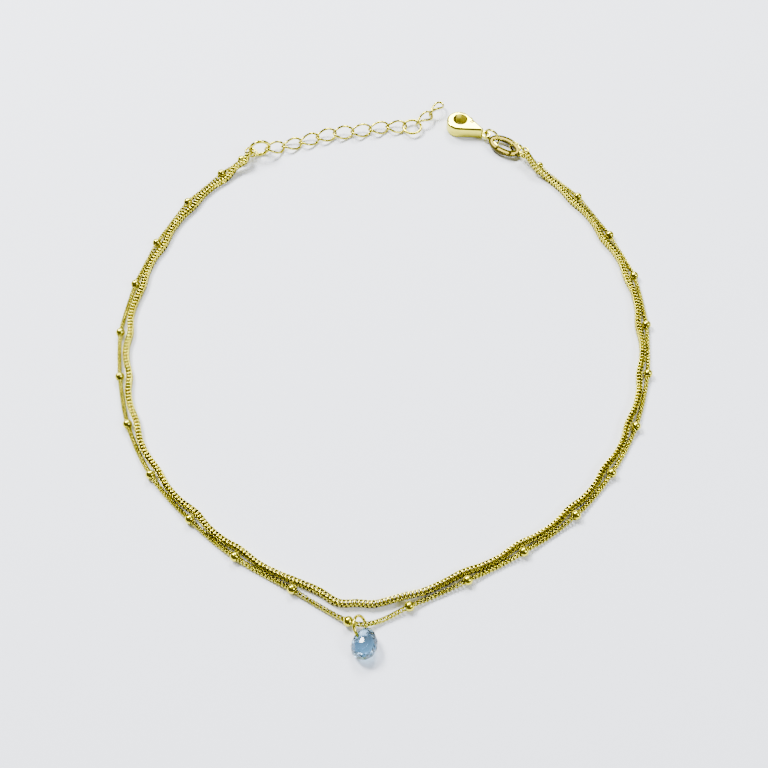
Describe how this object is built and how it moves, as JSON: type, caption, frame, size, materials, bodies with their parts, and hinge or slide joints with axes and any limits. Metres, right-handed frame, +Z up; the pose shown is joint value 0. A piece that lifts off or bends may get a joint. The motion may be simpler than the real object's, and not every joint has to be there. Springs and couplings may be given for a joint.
{
  "type": "charm anklet",
  "caption": "Two-strand chain anklet with round balls, a faceted pear drop, an oval tag, a lobster clasp and a curb-link extender, lying open.",
  "frame": {"origin": "middle of the anklet's bounding box, on the surface that it lies on", "axes": "+Z up, +Y from the drop towards the clasp and the extender"},
  "size_m": [0.0928, 0.112, 0.0043],
  "materials": {
    "chain": "gold plated, polished",
    "ball": "gold plated, polished",
    "ring": "gold plated, polished",
    "link": "gold plated, polished",
    "tag": "gold plated, polished",
    "clasp": "gold plated, high polish",
    "lever": "gold plated, polished",
    "rivet": "gold plated, polished",
    "stone": "faceted, pale blue"
  },
  "bodies": {
    "anklet": {"bead_01": "ball", "bead_02": "ball", "bead_03": "ball", "bead_04": "ball", "bead_05": "ball", "bead_06": "ball", "bead_07": "ball", "bead_08": "ball", "bead_09": "ball", "bead_10": "ball", "bead_11": "ball", "bead_12": "ball", "bead_13": "ball", "bead_14": "ball", "bead_15": "ball", "bead_16": "ball", "bead_17": "ball", "bead_18": "ball", "bead_19": "ball", "bead_20": "ball", "bead_21": "ball", "bead_22": "ball", "bead_23": "ball", "bead_24": "ball", "bead_25": "ball", "box_chain": "chain", "clasp_body": "clasp", "clasp_ring": "ring", "clasp_rivet": "rivet", "drop_ring": "ring", "drop_stone": "stone", "extender_end_ring": "ring", "extender_jump_ring": "ring", "extender_link_1": "link", "extender_link_10": "link", "extender_link_2": "link", "extender_link_3": "link", "extender_link_4": "link", "extender_link_5": "link", "extender_link_6": "link", "extender_link_7": "link", "extender_link_8": "link", "extender_link_9": "link", "satellite_chain": "chain", "tag": "tag", "tag_ring": "ring"},
    "lever": {"clasp_lever": "lever"}
  },
  "joints": [
    {"name": "clasp_lever", "type": "hinge", "parent": "anklet", "child": "lever", "pos_m": [0.01711, 0.04935, 0.0012], "axis": [0, 0, 1], "range_deg": [0, 26], "stiffness_Nm_per_rad": 0.0005, "springref_deg": -5.73}
  ]
}
